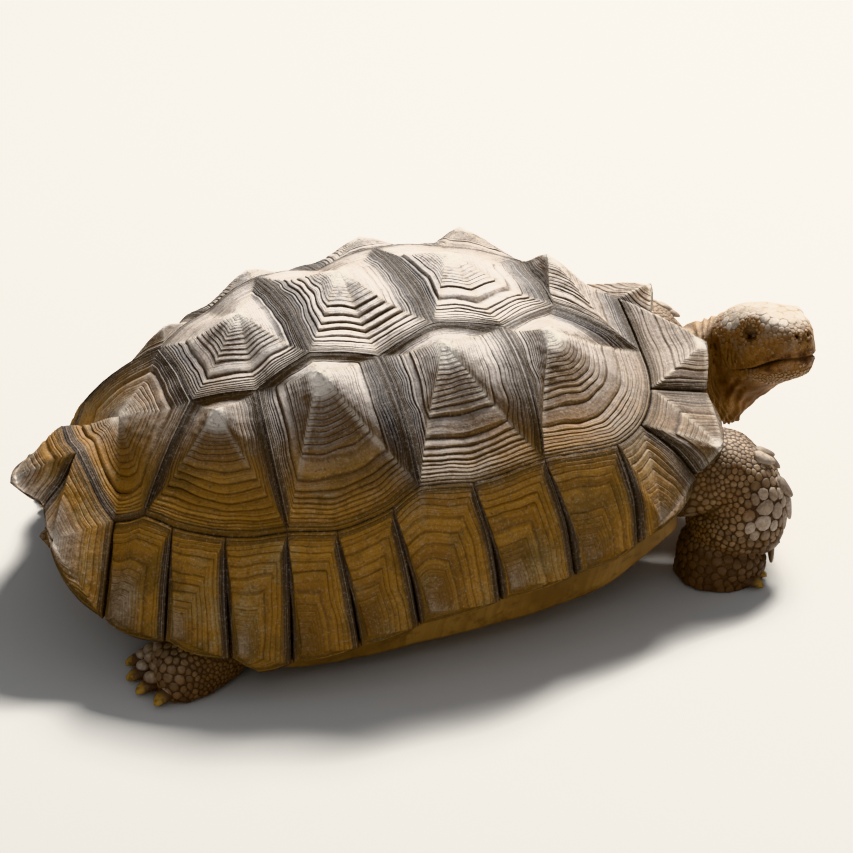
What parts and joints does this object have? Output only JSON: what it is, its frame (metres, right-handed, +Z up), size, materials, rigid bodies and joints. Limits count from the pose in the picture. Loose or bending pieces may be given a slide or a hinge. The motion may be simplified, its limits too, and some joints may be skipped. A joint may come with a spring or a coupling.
{
  "type": "sulcata tortoise",
  "caption": "Life-size still model of an adult sulcata tortoise at rest on its plastron, domed ridged shell, head raised and turned to its right.",
  "frame": {"origin": "centre of the flat underside of the plastron, at floor level", "axes": "+X towards the head, +Y to the animal's left, +Z up"},
  "size_m": [0.7872, 0.5042, 0.306],
  "materials": {
    "horn": "matt keratin, worn",
    "skin": "dry scaly skin",
    "eye": "wet gloss"
  },
  "bodies": {
    "root": {"vertebral_1": "horn", "vertebral_2": "horn", "vertebral_3": "horn", "vertebral_4": "horn", "vertebral_5": "horn", "costal_right_1": "horn", "costal_right_2": "horn", "costal_right_3": "horn", "costal_right_4": "horn", "costal_left_1": "horn", "costal_left_2": "horn", "costal_left_3": "horn", "costal_left_4": "horn", "marginal_right_1": "horn", "marginal_right_2": "horn", "marginal_right_3": "horn", "marginal_right_4": "horn", "marginal_right_5": "horn", "marginal_right_6": "horn", "marginal_right_7": "horn", "marginal_right_8": "horn", "marginal_right_9": "horn", "marginal_right_10": "horn", "marginal_right_11": "horn", "marginal_right_12": "horn", "marginal_left_1": "horn", "marginal_left_2": "horn", "marginal_left_3": "horn", "marginal_left_4": "horn", "marginal_left_5": "horn", "marginal_left_6": "horn", "marginal_left_7": "horn", "marginal_left_8": "horn", "marginal_left_9": "horn", "marginal_left_10": "horn", "marginal_left_11": "horn", "marginal_left_12": "horn", "supracaudal": "horn", "plastron_gular": "horn", "plastron_humeral": "horn", "plastron_pectoral": "horn", "plastron_abdominal": "horn", "plastron_femoral": "horn", "plastron_anal": "horn", "bridge_right": "horn", "bridge_left": "horn", "trunk": "skin", "neck": "skin", "head": "skin", "lower_jaw": "skin", "tail": "skin", "foreleg_right": "skin", "foreleg_left": "skin", "hindleg_right": "skin", "hindleg_left": "skin", "eye_right": "eye", "eye_left": "eye"}
  },
  "joints": []
}
